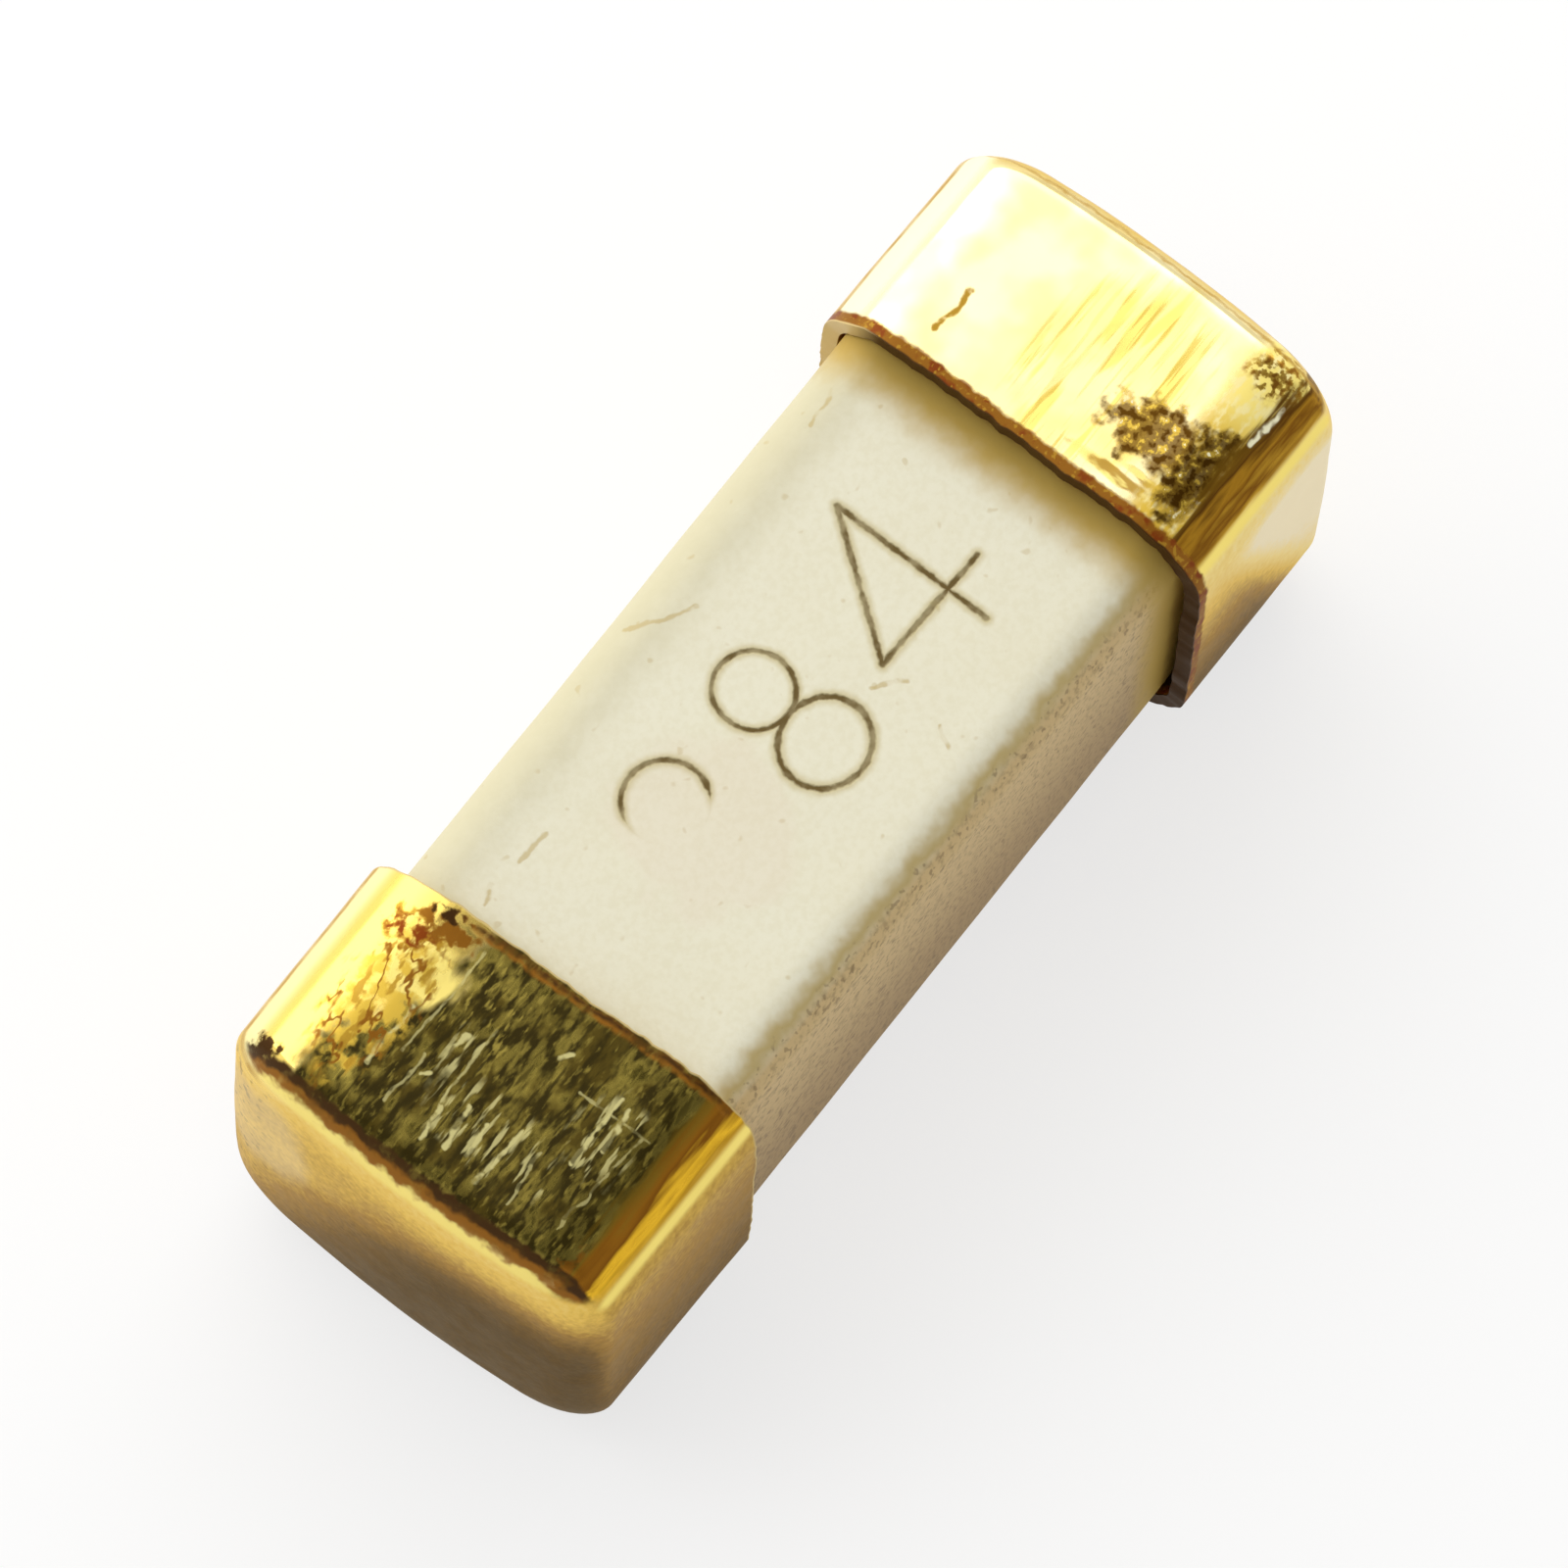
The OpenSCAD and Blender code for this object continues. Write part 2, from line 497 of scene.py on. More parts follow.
def high_parts(tree, noise_value, amount, highest_cut, softness):
    """Where a noise is above a cut that sinks from its highest place as the amount grows."""
    sunk = calculate(tree, "MULTIPLY", amount, AMOUNT_REACH)
    cut = calculate(tree, "SUBTRACT", highest_cut, sunk)
    full = calculate(tree, "ADD", cut, softness)
    return ease(tree, noise_value, cut, full)


# %% Dark specks
SPECK_CUT = 0.85
SPECK_SOFTNESS = 0.08

dark_specks, speck_in, speck_out = start_group(
    "dark_specks", ["Place"], ["Per millimetre", "Amount"], "Mask")
grains = clouds(dark_specks, speck_in["Place"], speck_in["Per millimetre"], 1.0)
grains = high_parts(dark_specks, grains, speck_in["Amount"], SPECK_CUT, SPECK_SOFTNESS)
plug(dark_specks, speck_out, grains)

# %% Lines along the draw
LINE_CUT = 0.8
LINE_SOFTNESS = 0.1

draw_lines, lines_in, lines_out = start_group(
    "draw_lines", ["Place"], ["Per millimetre", "Slenderness", "Amount"], "Mask")
drawn_in = calculate(draw_lines, "DIVIDE", 1.0, lines_in["Slenderness"])
slim = add_node(draw_lines, "CombineXYZ", {0: drawn_in, 1: 1.0, 2: 1.0}).outputs[0]
drawn_out = vector_step(draw_lines, "MULTIPLY", lines_in["Place"], slim)
streaks = clouds(draw_lines, drawn_out, lines_in["Per millimetre"], 2.0)
streaks = high_parts(draw_lines, streaks, lines_in["Amount"], LINE_CUT, LINE_SOFTNESS)
plug(draw_lines, lines_out, streaks)

# %% [markdown]
# ## Strokes
# The number and the scratches are strokes seen from above. They could be cut into the mesh,
# but they are shallower than a hair, so the material draws them. Each stroke is a distance: how
# far a point is from a straight line or from an arc. Where the nearest stroke is close enough
# there is a mark, and a little noise added to the distance makes its edge uneven.

# %% Straight stroke
straight_stroke, line_in, line_out = start_group(
    "straight_stroke", ["Place", "Start", "End"], [], "Distance")
flat_place = vector_step(straight_stroke, "MULTIPLY", line_in["Place"], (1, 1, 0))
from_start = vector_step(straight_stroke, "SUBTRACT", flat_place, line_in["Start"])
whole = vector_step(straight_stroke, "SUBTRACT", line_in["End"], line_in["Start"])
shadow = vector_step(straight_stroke, "DOT_PRODUCT", from_start, whole, output=1)
square = vector_step(straight_stroke, "DOT_PRODUCT", whole, whole, output=1)
portion = calculate(straight_stroke, "DIVIDE", shadow, square)
portion = calculate(straight_stroke, "MAXIMUM", portion, 0.0)
portion = calculate(straight_stroke, "MINIMUM", portion, 1.0)
foot = add_node(straight_stroke, "VectorMath", {0: whole, "Scale": portion}, operation="SCALE")
gap = vector_step(straight_stroke, "SUBTRACT", from_start, foot.outputs[0])
plug(straight_stroke, line_out, vector_step(straight_stroke, "LENGTH", gap, output=1))

# %% Curved stroke
USUAL_RADIUS = 0.43

curved_stroke, arc_in, arc_out = start_group(
    "curved_stroke", ["Place", "Middle", "Radii", "Towards"], ["Reach"], "Distance")
from_middle = vector_step(curved_stroke, "SUBTRACT", arc_in["Place"], arc_in["Middle"])
rounded = vector_step(curved_stroke, "DIVIDE", from_middle, arc_in["Radii"])
rounded = vector_step(curved_stroke, "MULTIPLY", rounded, (1, 1, 0))
radius = vector_step(curved_stroke, "LENGTH", rounded, output=1)
miss = calculate(curved_stroke, "SUBTRACT", radius, 1.0)
miss = calculate(curved_stroke, "ABSOLUTE", miss)
miss = calculate(curved_stroke, "MULTIPLY", miss, USUAL_RADIUS)
heading_to = vector_step(curved_stroke, "NORMALIZE", rounded)
facing = vector_step(curved_stroke, "DOT_PRODUCT", heading_to, arc_in["Towards"], output=1)
beyond = calculate(curved_stroke, "SUBTRACT", arc_in["Reach"], facing)
beyond = calculate(curved_stroke, "MAXIMUM", beyond, 0.0)
plug(curved_stroke, arc_out, calculate(curved_stroke, "ADD", miss, beyond))


# %% Scratches in a finish
SCRATCH_WAVE = 0.08
SCRATCH_CORE = 0.3
SCRATCH_FAINTEST = 0.25


def scratches(finish, ends, half_width, roughness):
    """One mask for several wavy scratches, each given by its two ends seen from above."""
    aside = finish.wander(3.0, SCRATCH_WAVE)
    aside = add_node(finish.tree, "CombineXYZ", {1: aside}).outputs[0]
    wavy = vector_step(finish.tree, "ADD", finish.place, aside)
    distances = [finish.use(straight_stroke, wavy, (*start, 0), (*end, 0)) for start, end in ends]
    nearest = combine(finish.tree, "MINIMUM", *distances)
    nearest = finish.add(nearest, finish.wander(9.0, roughness))
    marked = finish.ease(nearest, SCRATCH_CORE * half_width, half_width, 1.0, 0.0)
    broken = finish.ease(finish.noise(6.0), 0.38, 0.52, SCRATCH_FAINTEST, 1.0)
    return finish.times(marked, broken)


# %% [markdown]
# ## Gold finish
# The caps are drawn brass with a thin gold plating. Their tops are polished and their sides are
# satin, gold at the top and brown towards the floor. That brown is mostly painted shade with a
# little tarnish, and the sides are painted paler towards the window. The mesh carries the distance
# from the mouth as an attribute. The place in X would nearly do, but the mouth is ragged and the
# closed end is swollen, and lines along them have to follow the metal. Both caps share the
# plating, and each then gets its own marks. Satin runs from the darkest painted shade to the
# palest gold, and the front colours, mostly painted reflections of the rounded edge, follow one
# another down the edge.

# %% Gold colours
PALE_GOLD = (0.96, 0.82, 0.42, 1)
RICH_GOLD = (0.90, 0.68, 0.24, 1)
DEEP_GOLD = (0.88, 0.64, 0.15, 1)
OLIVE_GOLD = (0.34, 0.26, 0.050, 1)
OLIVE = (0.23, 0.175, 0.032, 1)
BROWN_OLIVE = (0.085, 0.058, 0.008, 1)
DARK_OLIVE = (0.030, 0.021, 0.003, 1)
SCRATCH_PALE = (0.58, 0.52, 0.22, 1)
CUT_HIGHLIGHT_PALE = (0.62, 0.47, 0.20, 1)
# Painted reflection and highlight colours.
REFLECTION_YELLOW = (0.96, 0.84, 0.40, 1)
HIGHLIGHT_WHITE = (0.98, 0.94, 0.64, 1)
LIP_YELLOW = (0.98, 0.80, 0.22, 1)
YELLOW = (0.75, 0.50, 0.065, 1)
ORANGE_GOLD = (0.48, 0.27, 0.028, 1)
ORANGE_BROWN = (0.28, 0.11, 0.011, 1)
RED_BROWN = (0.22, 0.045, 0.006, 1)
DARK_BROWN = (0.055, 0.023, 0.006, 1)
DARK_PATCH_BROWN = (0.20, 0.10, 0.011, 1)
PIT_BROWN = (0.10, 0.042, 0.003, 1)
# Satin tones run from brown painted shade at the floor to the palest gold.
SATIN_SHADED_TO_LIT = [(0.085, 0.045, 0.010, 1), (0.17, 0.09, 0.018, 1), (0.40, 0.225, 0.045, 1),
         (0.84, 0.57, 0.115, 1), (0.95, 0.76, 0.31, 1), (0.95, 0.86, 0.63, 1)]
# Front colours: mostly painted reflections of the rounded front edge, from dark bands to a bright
# yellow one.
NEAR_FRONT = [(0.17, 0.11, 0.012, 1), (0.24, 0.14, 0.014, 1), (0.27, 0.11, 0.008, 1),
              (0.20, 0.075, 0.006, 1), (0.88, 0.52, 0.030, 1), (0.50, 0.27, 0.015, 1),
              (0.70, 0.43, 0.070, 1)]
FAR_FRONT = [(0.30, 0.16, 0.015, 1), (0.20, 0.10, 0.008, 1), (0.10, 0.038, 0.004, 1),
             (0.38, 0.19, 0.014, 1), (0.20, 0.08, 0.006, 1), (0.50, 0.28, 0.025, 1),
             (0.92, 0.69, 0.20, 1)]
print("a cap's sides pass through", len(SATIN_SHADED_TO_LIT), "tones, its front through", len(NEAR_FRONT))

# %% Gold measures
TOP_Z = (4.25, 4.40)
SHOULDER_Z = (4.05, 4.20)
END_DEPTH = (2.3, 2.55)
CUT_DEPTH = (0.006, 0.03)
LIP_Y = (-2.215, -2.145)
BACK_LINE_Z = (3.98, 4.09)
FRONT_FROM = -1.70
FRONT_WIDTH = 0.54
FULLY_PALE = 5.0
NEAR_POLISH = 0.0016
FAR_POLISH = 0.0011
SATIN_GRAIN = 0.002
GOLD_SPECULAR = 0.15
GOLD_GLANCE = (0.90, 0.72, 0.40, 1)


# %% Gold plating and satin sides
def plated_cap(name, paler_upwards, back_reflection_colour):
    """Gold plating with satin sides, and the measures that marks on a cap need."""
    gold = Finish(name, RICH_GOLD, PALE_GOLD, 1.1)
    gold.depth = add_node(gold.tree, "Attribute", attribute_name="depth").outputs["Fac"]
    shift = gold.wander(6.0, 0.05)
    gold.ragged_y = gold.add(gold.y, shift)
    gold.ragged_depth = gold.add(gold.depth, shift)
    gold.top = gold.ease(gold.z, *TOP_Z)
    gold.high = gold.ease(gold.z, *SHOULDER_Z)
    # Painted reflection: the sides near the end corner are painted pale.
    towards_corner = gold.add(gold.x, gold.times(gold.z, 0.3))
    pale_corner = gold.times(gold.ease(towards_corner, 4.9, 6.0, 0.0, 3.4),
                             gold.ease(gold.z, 3.3, 4.0, 1.0, 0.05),
                             gold.ease(gold.y, -1.5, 0.5, 1.0, 0.0))
    # Painted reflection: the sides are paler towards the window.
    pale_behind = gold.ease(gold.y, 1.9, 2.25, 0.0, 0.8)
    # Painted shade: the tone grows with height, so the satin is brown at the floor and gold at the
    # top.
    side_tone = gold.add(gold.times(gold.z, paler_upwards), 1.08 - 1.2 * paler_upwards,
                         pale_corner, pale_behind)
    # Painted light: the closed end is paler towards the window and darker towards the floor.
    towards_back = gold.add(gold.y, gold.times(gold.z, 0.6))
    pale_back = gold.times(gold.ease(towards_back, 0.7, 3.0, 0.0, 2.4),
                           gold.ease(gold.z, 2.4, 3.7, 1.0, 0.0))
    end_tone = gold.add(gold.ease(gold.z, 2.2, 4.1, 0.1, 3.2), pale_back, pale_corner)
    at_end = gold.ease(gold.depth, *END_DEPTH)
    tone = blend(gold.tree, at_end, side_tone, end_tone)
    tone = gold.add(tone, gold.wander(3.0, 0.25), gold.wander(14.0, 0.5))
    polished_back = gold.ease(gold.y, 1.2, 1.9, 0.0, 0.35)
    gold.side = gold.ease(gold.add(gold.z, polished_back), 4.12, 4.32, 1.0, 0.0)
    gold.lay(gold.side, gold.ramp(tone, FULLY_PALE, SATIN_SHADED_TO_LIT), 0.6)
    # A painted reflection of the bright wall along the back edge.
    gold.lay((gold.ease(gold.y, 1.82, 2.02), gold.ease(gold.z, 3.95, 4.10)), back_reflection_colour, 0.7)
    return gold


# %% Lines round a cap
def line_along_end(gold, start, end, colour, strength):
    """A line along the closed end's edge."""
    line = gold.use(soft_band, gold.ragged_depth, start, end, 0.04)
    uneven = gold.ease(gold.noise(4.0), 0.3, 0.55, 0.7 * strength, strength)
    gold.lay((line, gold.high, uneven), colour, 0.8)


def shade_front(gold, colours, streakiness, later):
    """Colours that follow one another down the front edge, drawn out into fine streaks, mostly
    painted reflections of the rounded edge.
    """
    streaks = gold.minus(gold.noise(8.0, 3.0, (0.12, 1.0, 1.0)), 0.5)
    down = gold.minus(FRONT_FROM, gold.y)
    down = gold.add(down, gold.times(streaks, streakiness))
    started = gold.ease(gold.minus(down, later), 0.0, 0.10)
    gold.lay((started, gold.high), gold.ramp(down, FRONT_WIDTH, colours), 0.35)
    # A painted highlight along the lip of the front edge.
    lip = gold.use(soft_band, gold.y, *LIP_Y, 0.05)
    gold.lay((lip, gold.ease(gold.z, 3.9, 4.05)), LIP_YELLOW, 0.3)


def line_along_back(gold):
    """A painted dark reflection: the thin orange line below the back edge, the top's outline from
    above.
    """
    ragged_z = gold.add(gold.z, gold.wander(6.0, 0.03))
    line = gold.use(soft_band, ragged_z, *BACK_LINE_Z, 0.07)
    uneven = gold.ease(gold.noise(3.0), 0.35, 0.6, 0.55, 1.0)
    gold.lay((line, gold.ease(gold.y, 1.7, 2.0), uneven), ORANGE_GOLD, 0.7)


def finish_plating(gold, polish, cut_colour):
    """Polish, relief and the cut edge, which every cap has."""
    # The cut face's colour is painted light: a pale highlight on the near cap, dark shade on the
    # far one.
    gold.lay(gold.ease(gold.depth, *CUT_DEPTH, 1.0, 0.0), cut_colour, 0.9)
    smooth = gold.ease(gold.noise(3.0), 0.3, 0.7, 0.07, 0.14)
    roughness = gold.add(smooth, gold.times(gold.side, 0.2), gold.times(gold.dull, 0.3))
    gold.set("Metallic", calculate(gold.tree, "MULTIPLY_ADD", gold.dull, -1.0, 1.0))
    gold.set("Roughness", roughness)
    gold.set("Specular IOR Level", GOLD_SPECULAR)
    gold.set("Specular Tint", GOLD_GLANCE)
    gold.raise_by(gold.noise(2.6, 3.0), polish)
    gold.raise_by(gold.noise(8.0, 2.0, (0.15, 1.0, 1.0)), 0.4 * polish)
    gold.raise_by(gold.times(gold.noise(20.0, 1.0), gold.side), SATIN_GRAIN)
    return gold.done()


# %% [markdown]
# ## Near cap
# Its top is the worn one: an olive film with pale scratches and scuffs across it, all but a bright
# strip along the back that is creased and stained with orange. The olive is partly tarnish and
# partly painted shade, the dark reflection of the ceiling, and the bright strip has a painted
# highlight. A dark brown line lies where the top turns over into the closed end, with a painted
# yellow highlight beyond it, and that end is painted paler towards the window.

# %% Near cap's marks
NEAR_SCRATCHES = [
    ((-5.62, -0.54), (-4.95, -0.60)), ((-5.58, 0.10), (-5.12, 0.17)),
    ((-5.52, -0.12), (-5.05, -0.05)), ((-5.45, -0.33), (-5.10, -0.28)),
    ((-5.30, 1.00), (-4.60, 0.98)), ((-4.90, -1.17), (-4.10, -1.13)),
    ((-4.62, -1.32), (-4.15, -1.28)), ((-4.80, 0.42), (-4.50, 0.40)),
    ((-4.14, -0.42), (-4.04, -0.50)), ((-5.08, 0.52), (-5.02, 0.44)),
]
NEAR_FAINT_SCRATCHES = [
    ((-5.00, 0.79), (-3.75, 0.77)), ((-5.5, 0.62), (-4.9, 0.60)), ((-5.6, -0.9), (-5.0, -0.88)),
    ((-5.5, -1.45), (-4.3, -1.52)), ((-4.9, 0.2), (-4.3, 0.22)), ((-4.3, -0.8), (-4.28, -1.6)),
]
NEAR_SCUFFS = [
    ((-5.15, -0.35), (0.40, 0.80)), ((-4.55, -1.25), (0.50, 0.32)), ((-4.65, 0.32), (0.35, 0.22)),
]
NEAR_STAINS = [
    ((-3.97, 1.42), (0.24, 0.36), ORANGE_GOLD), ((-4.00, 1.47), (0.15, 0.24), RED_BROWN),
    ((-3.76, 1.20), (0.17, 0.36), ORANGE_BROWN), ((-3.66, 1.26), (0.08, 0.20), DARK_BROWN),
    ((-5.70, -1.84), (0.26, 0.20), ORANGE_BROWN), ((-5.74, 1.86), (0.14, 0.18), DARK_BROWN),
]
# The yellow end line is a painted highlight beyond the dark ones, towards the end.
NEAR_END_LINES = [
    (2.54, 2.62, LIP_YELLOW, 0.95), (2.46, 2.55, ORANGE_BROWN, 1.0),
    (2.40, 2.48, DARK_BROWN, 1.0),
]

near = plated_cap("gold_near", 0.5, REFLECTION_YELLOW)
slanted = near.add(near.y, near.times(near.x, 0.33), near.wander(2.5, 0.3))
bright = near.ease(slanted, -0.48, -0.25)
bright_spot = near.blot((-4.25, 1.10), (0.35, 0.40), 0.9, (2, 5, 2))
bright = near.strongest(bright, bright_spot)
# Painted shade: the olive film and its dark mottles stand partly for the dark reflection of the
# ceiling, over real tarnish.
worn_and_shaded = near.times(near.top, near.minus(1.0, bright))
near.lay((bright, near.top), DEEP_GOLD)
# A painted highlight in the bright strip.
near.lay((bright_spot, near.top), LIP_YELLOW, 0.6)
near.lay(worn_and_shaded, OLIVE_GOLD)
near.lay((worn_and_shaded, near.ease(near.noise(2.2, 4.0), 0.42, 0.58)), BROWN_OLIVE, 0.8)
mottled = near.ease(near.noise(10.0, 5.0, (0.35, 1.0, 1.0)), 0.38, 0.62, 1.0, 0.0)
near.lay((worn_and_shaded, mottled), DARK_OLIVE, 0.9)
grainy = near.ease(near.noise(17.0, 4.0, (0.35, 1.0, 1.0)), 0.54, 0.72)
near.lay((worn_and_shaded, grainy), OLIVE, 0.9)
golden = near.blot((-4.15, 0.45), (0.55, 0.60), 1.2, (3, 3, 3))
near.lay((worn_and_shaded, golden, grainy), OLIVE_GOLD, 0.7)
streaks = near.use(draw_lines, near.place, 14.0, 6.0, 0.62)
near.lay((streaks, worn_and_shaded, 0.8), DARK_OLIVE, 0.9)
near.report("worn top")

# %% Near cap's scratches
faint = near.times(scratches(near, NEAR_FAINT_SCRATCHES, 0.022, 0.02), 0.6)
clear = scratches(near, NEAR_SCRATCHES, 0.036, 0.03)
scuffed = [near.blot(middle, size, 1.0, (4, 4, 4)) for middle, size in NEAR_SCUFFS]
scuffs = near.use(draw_lines, near.place, 13.0, 5.0, 0.72)
scuffs = near.times(scuffs, near.strongest(*scuffed), 0.8)
pale = near.strongest(faint, clear, scuffs)
near.lay((pale, near.top), SCRATCH_PALE, 0.9)
near.report("scratches")

# %% Near cap's bright strip
creases = near.minus(near.noise(4.0, 3.0, (0.45, 1.0, 1.0)), 0.5)
creases = near.ease(calculate(near.tree, "ABSOLUTE", creases), 0.006, 0.034, 1.0, 0.0)
crumpled = near.blot((-4.76, 1.30), (0.95, 0.40), 1.2, (3, 8, 2))
crumpled = near.times(crumpled, near.top)
near.lay((crumpled, near.ease(near.noise(5.0, 3.0), 0.43, 0.58)), YELLOW, 0.35)
wisps = near.ease(near.noise(9.0, 3.0, (0.4, 1.0, 1.0)), 0.55, 0.63)
near.lay((crumpled, wisps, 0.9), ORANGE_GOLD, 0.35)
near.lay((crumpled, creases), ORANGE_BROWN, 0.4)
broken = near.times(near.ease(near.noise(7.0, 5.0), 0.38, 0.52), near.high)
for middle, size, colour in NEAR_STAINS:
    stain = near.blot(middle, size, 2.0, (8, 8, 8))
    near.lay((stain, broken), colour, 0.4)
near.report("bright strip")

# %% Near cap's edges
shade_front(near, NEAR_FRONT, 0.35, 0.0)
for line in NEAR_END_LINES:
    line_along_end(near, *line)
line_along_back(near)
uneven = near.ease(near.noise(5.0, 3.0), 0.38, 0.58, 0.25, 1.0)
along_mouth = near.times(near.top, near.ease(near.y, 0.8, 1.3, 0.95, 0.0), uneven)
for end, colour in ((0.14, ORANGE_BROWN), (0.09, DARK_BROWN)):
    mouth_line = near.use(soft_band, near.ragged_depth, 0.03, end, 0.06)
    near.lay((mouth_line, along_mouth), colour, 0.8)
specks = near.use(dark_specks, near.place, 10.0, 0.70)
near.lay((specks, near.side, near.ease(near.y, 1.3, 2.1), 0.7), SATIN_SHADED_TO_LIT[1], 0.8)
pale_end = near.blot((-6.1, 1.8, 2.8), (1.0, 0.7, 1.1), 0.5, (2, 2, 2))
near.lay((pale_end, near.side, 0.25), SATIN_SHADED_TO_LIT[-1], 0.6)
near_gold = finish_plating(near, NEAR_POLISH, CUT_HIGHLIGHT_PALE)

# %% [markdown]
# ## Far cap
# Its top is the bright one, with fine orange lines along the draw, one short scratch, two orange
# licks beside the mouth and pale patches painted on as highlight. Towards the front it has a dark
# patch, partly tarnish and partly the painted dark reflection of a dent, and a pitted corner, with
# a painted bright reflection and a painted glint where the top turns over. The cut at its mouth
# has bent up into a wavy copper rim, whose brown is partly painted reflection and shade. Only this
# cap reaches the pale corner that the plating has, a painted reflection.

# %% Far cap's marks
FAR_SCRATCH = [((3.93, 1.27), (4.15, 1.21)), ((4.15, 1.21), (4.44, 1.22))]
FAR_GLINT = [((4.88, -1.82), (5.38, -1.84))]
FAR_LICKS = [((3.80, -1.00), (0.08, 0.50)), ((3.93, -1.35), (0.06, 0.35))]

far = plated_cap("gold_far", 1.0, HIGHLIGHT_WHITE)
# Pale patches painted on the top as highlight.
far.lay((far.ease(far.noise(1.3), 0.42, 0.62), far.top, 0.4), HIGHLIGHT_WHITE)
lined = far.times(far.blot((4.6, -0.35), (1.15, 0.85), 0.8, (1, 4, 1)), far.top)
groups = far.use(draw_lines, far.place, 5.0, 8.0, 0.90)
far.lay((lined, far.ease(groups, 0.0, 1.0, 0.35, 0.95)), DEEP_GOLD)
lines = far.use(draw_lines, far.place, 19.0, 18.0, 0.80)
lines = far.times(lines, lined, far.ease(groups, 0.0, 1.0, 0.3, 1.0))
line_hearts = far.times(lines, lines, 0.7)
far.lay(lines, LIP_YELLOW, 0.6)
far.lay(line_hearts, YELLOW, 0.6)
far.lay((scratches(far, FAR_SCRATCH, 0.045, 0.03), far.top), ORANGE_GOLD, 0.8)
lick_colour = far.ease(far.noise(9.0, 3.0, (1.0, 0.3, 1.0)), 0.42, 0.55)
lick_colour = far.mix(lick_colour, ORANGE_GOLD, LIP_YELLOW)
for middle, size in FAR_LICKS:
    lick = far.blot(middle, size, 1.4, (7, 3, 3))
    far.lay((lick, far.top, 0.9), lick_colour, 0.4)
far.report("lines and licks")

# %% Far cap's dark patches and painted reflection
beyond_turn = far.ease(far.x, 4.65, 5.25)
# Painted reflection: where the top turns over at the front, a bright yellow film stands for the
# light the metal would mirror there.
turning = far.times(far.ease(far.ragged_y, -1.44, -1.20, 1.0, 0.0), far.top)
turn_reflection_colour = far.mix(beyond_turn, YELLOW, LIP_YELLOW)
flecks = far.ease(far.noise(12.0, 3.0, (0.5, 1.0, 1.0)), 0.45, 0.65, 0.0, 0.8)
turn_reflection_colour = far.mix(flecks, turn_reflection_colour, REFLECTION_YELLOW)
far.lay(turning, turn_reflection_colour, 0.95)
# The dark patches are partly tarnish and partly the painted dark reflection of a dent; their white
# flecks are painted glints.
pits = far.noise(9.0, 5.0)
dark_patch_back = far.blot((4.36, -1.10), (0.34, 0.55), 1.6, (5, 5, 5))
dark_patch_front = far.blot((4.30, -1.62), (0.55, 0.26), 1.8, (5, 5, 5))
dark_patches = far.times(far.strongest(dark_patch_back, dark_patch_front), far.top)
corner = far.times(far.blot((5.60, -1.62), (0.30, 0.30), 1.2, (5, 5, 5)), far.top)
fine_pits = far.noise(14.0, 4.0)
far.lay((dark_patches, 0.9), DARK_PATCH_BROWN, 0.3)
far.lay((dark_patches, far.ease(pits, 0.40, 0.50, 1.0, 0.0)), PIT_BROWN, 0.3)
far.lay((dark_patches, far.ease(pits, 0.53, 0.62)), YELLOW, 0.4)
far.lay((dark_patches, far.ease(pits, 0.63, 0.69)), HIGHLIGHT_WHITE, 0.7)
far.lay((corner, far.ease(fine_pits, 0.48, 0.58, 0.9, 0.0)), ORANGE_GOLD, 0.3)
far.lay((corner, far.ease(fine_pits, 0.38, 0.46, 0.9, 0.0)), ORANGE_BROWN, 0.3)
far.report("rubbed patches")

# %% Far cap's edges
shade_front(far, FAR_FRONT, 0.5, far.times(beyond_turn, 0.05))
far.lay((scratches(far, FAR_GLINT, 0.035, 0.02), far.top), HIGHLIGHT_WHITE, 0.7)
for start, end in ((2.42, 2.46), (2.55, 2.59)):
    line_along_end(far, start, end, ORANGE_GOLD, 0.85)
line_along_back(far)
# The rim's copper brown is partly painted reflection and shade of the ceramic and the gap.
rim_copper_and_shade = far.mix(far.ease(far.noise(6.0, 3.0), 0.38, 0.52), RED_BROWN, ORANGE_BROWN)
rim_copper_and_shade = far.mix(far.ease(far.noise(15.0), 0.56, 0.66, 0.0, 0.7), rim_copper_and_shade, ORANGE_GOLD)
far.lay(far.ease(far.ragged_depth, 0.12, 0.17, 1.0, 0.0), rim_copper_and_shade, 0.8)
# Painted light on the far cut: dark shade at the front, a pale highlight at the back.
cut_colour = far.mix(far.ease(far.y, 1.6, 2.0), DARK_BROWN, CUT_HIGHLIGHT_PALE)
far_gold = finish_plating(far, FAR_POLISH, cut_colour)

# %% [markdown]
# ## Drawn caps
# Each cap is a square cup pressed from sheet. Its long edges are round, its closed end swells
# and rolls over into the sides on a flat curve, and its mouth is a ragged cut. It could be cut
# out of a full block, but a thin shell that gets its wall last keeps the metal as even as
# pressed sheet is. A block is opened at its mouth, gets two bevels, is sliced, and is squeezed
# at its closed end so that the round there becomes that flat curve. Then it ages: the end
# bows, the metal is dented, the front edge leans in and the mouth tears. Solidify comes last.

